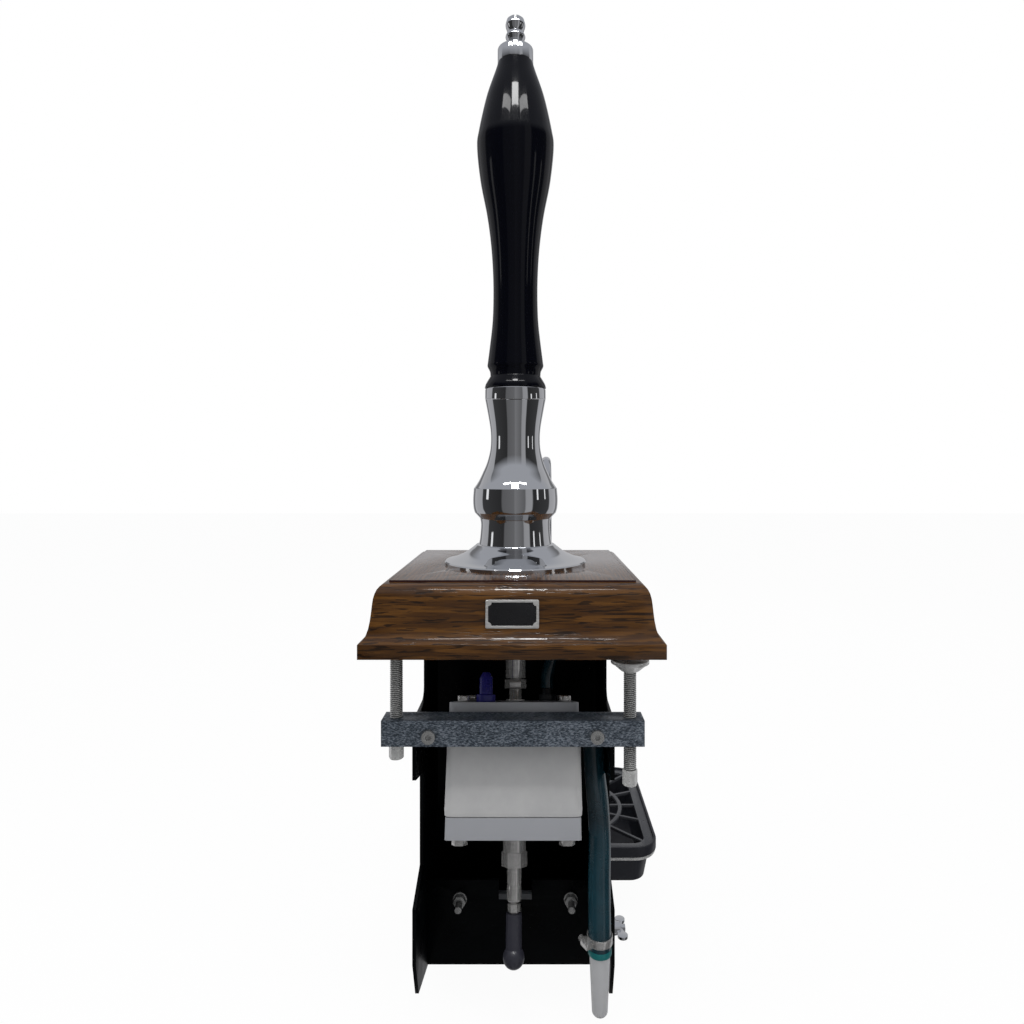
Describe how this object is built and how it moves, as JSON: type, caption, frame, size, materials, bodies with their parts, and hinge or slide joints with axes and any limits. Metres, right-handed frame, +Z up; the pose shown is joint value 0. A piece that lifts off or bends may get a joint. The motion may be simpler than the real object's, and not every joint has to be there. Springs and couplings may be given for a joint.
{
  "type": "hand pump beer engine",
  "caption": "Clamp-on hand pump: a turned handle on a slotted vase pulls a jacketed cylinder down over a fixed piston and drives drink up to a swan neck spout.",
  "frame": {"origin": "centre of the plinth's underside, on the counter line", "axes": "+X to the right of the customer who faces the badge, +Y to the bar staff, +Z up along the handle"},
  "size_m": [0.258, 0.378, 0.851],
  "materials": {
    "oak": "stained and lacquered oak",
    "chrome": "polished chrome plate",
    "zinc": "zinc plate",
    "stainless": "turned stainless steel",
    "black_sheet": "black powder coat",
    "handle_black": "polished black lacquer",
    "badge_black": "black enamel",
    "acetal": "milled white acetal",
    "jacket": "foam with a pale foil face",
    "hose_teal": "dark blue-green hose",
    "hose_clear": "milky beer hose",
    "seal_black": "black rubber",
    "bronze": "sintered bronze",
    "cap_blue": "blue moulded plastic",
    "fitting_black": "black moulded plastic",
    "ring_green": "green moulded plastic",
    "tail_white": "pale moulded plastic",
    "rod_end_grey": "dark glass-filled nylon",
    "liner_grey": "grey plastic edging",
    "foot_zinc": "passivated zinc plate",
    "tray_black": "black moulded plastic",
    "grille_grey": "dark grey moulded plastic",
    "sparkler_white": "white moulded plastic"
  },
  "bodies": {
    "frame": {"plinth_top_board": "oak", "plinth_front_rail": "oak", "plinth_rear_rail": "oak", "plinth_left_rail": "oak", "plinth_right_rail": "oak", "badge_rim": "chrome", "badge_panel": "badge_black", "column_vase": "chrome", "plinth_screws": "stainless", "pivot_pin": "stainless", "pivot_bracket": "zinc", "body_channel": "black_sheet", "foot_plate": "black_sheet", "foot_plate_bolts": "stainless", "notch_liner": "liner_grey", "clamp_bar": "zinc", "bar_bolts": "zinc", "outlet_hose": "hose_clear", "piston": "acetal", "piston_seals": "seal_black", "piston_rod": "stainless", "rod_lock_nut": "stainless", "rod_end": "rod_end_grey", "ball_stud": "stainless", "swan_neck": "chrome", "neck_nuts": "chrome", "spout_nozzle": "chrome"},
    "handle": {"handle_ferrule": "chrome", "handle_grip": "handle_black", "handle_tie_rod": "chrome", "finial_collar": "chrome", "lever": "stainless", "pivot_bushes": "bronze"},
    "cylinder": {"cylinder_barrel": "acetal", "cylinder_top_plate": "acetal", "cylinder_bottom_plate": "acetal", "insulation_jacket": "jacket", "tie_bolts": "stainless", "gland_body": "stainless", "gland_nut": "stainless", "drive_stud": "stainless", "drive_lock_nut": "stainless", "drive_clevis": "stainless", "clevis_pin": "stainless", "port_cap": "cap_blue", "inlet_elbow": "fitting_black", "outlet_elbow": "fitting_black", "inlet_hose": "hose_teal", "hose_clip": "stainless", "hose_ring": "ring_green", "inlet_tail": "tail_white"},
    "foot_left": {"clamp_foot_left": "foot_zinc"},
    "screw_left": {"clamp_screw_left": "zinc"},
    "foot_right": {"clamp_foot_right": "foot_zinc"},
    "screw_right": {"clamp_screw_right": "zinc"},
    "sparkler": {"sparkler": "sparkler_white"},
    "tray_carrier": {"tray_bracket": "zinc"},
    "wing_screw": {"tray_wing_screw": "chrome"},
    "tray": {"drip_tray": "tray_black"},
    "grille": {"tray_grille": "grille_grey"}
  },
  "joints": [
    {"name": "handle_pull", "type": "hinge", "parent": "frame", "child": "handle", "pos_m": [0, 0, 0.03], "axis": [-1, 0, 0], "range_deg": [0, 60]},
    {"name": "cylinder_stroke", "type": "slide", "parent": "frame", "child": "cylinder", "axis": [0, -0.309, -0.9511], "range_m": [0, 0.0318], "deforming": ["outlet_hose"]},
    {"name": "left_foot_feed", "type": "slide", "parent": "frame", "child": "foot_left", "axis": [0, 0, 1], "range_m": [-0.024, 0]},
    {"name": "left_screw_turn", "type": "hinge", "parent": "foot_left", "child": "screw_left", "pos_m": [-0.0917, -0.079, -0.05], "axis": [0, 0, 1], "range_deg": [-5762, 0]},
    {"name": "right_foot_feed", "type": "slide", "parent": "frame", "child": "foot_right", "axis": [0, 0, 1], "range_m": [-0.024, 0.0204]},
    {"name": "right_screw_turn", "type": "hinge", "parent": "foot_right", "child": "screw_right", "pos_m": [0.0917, -0.079, -0.05], "axis": [0, 0, 1], "range_deg": [-5762, 4900]},
    {"name": "sparkler_turn", "type": "hinge", "parent": "frame", "child": "sparkler", "pos_m": [0.0296, 0.13, 0.018], "axis": [0, 0, -1], "continuous": true},
    {"name": "tray_height", "type": "slide", "parent": "frame", "child": "tray_carrier", "axis": [0, 0, 1], "range_m": [-0.0145, 0.0145]},
    {"name": "wing_screw_turn", "type": "hinge", "parent": "tray_carrier", "child": "wing_screw", "pos_m": [0.09, -0.016, -0.262], "axis": [1, 0, 0], "continuous": true},
    {"name": "tray_lift", "type": "slide", "parent": "tray_carrier", "child": "tray", "axis": [0, 0, 1], "range_m": [0, 0.06]},
    {"name": "grille_lift", "type": "slide", "parent": "tray", "child": "grille", "axis": [0, 0, 1], "range_m": [0, 0.03]}
  ],
  "couplings": [
    {"joint": "cylinder_stroke", "follows": "handle_pull", "m_per_rad": 0.030339},
    {"joint": "left_screw_turn", "follows": "left_foot_feed", "rad_per_m": 4188.8},
    {"joint": "right_screw_turn", "follows": "right_foot_feed", "rad_per_m": 4188.8}
  ]
}
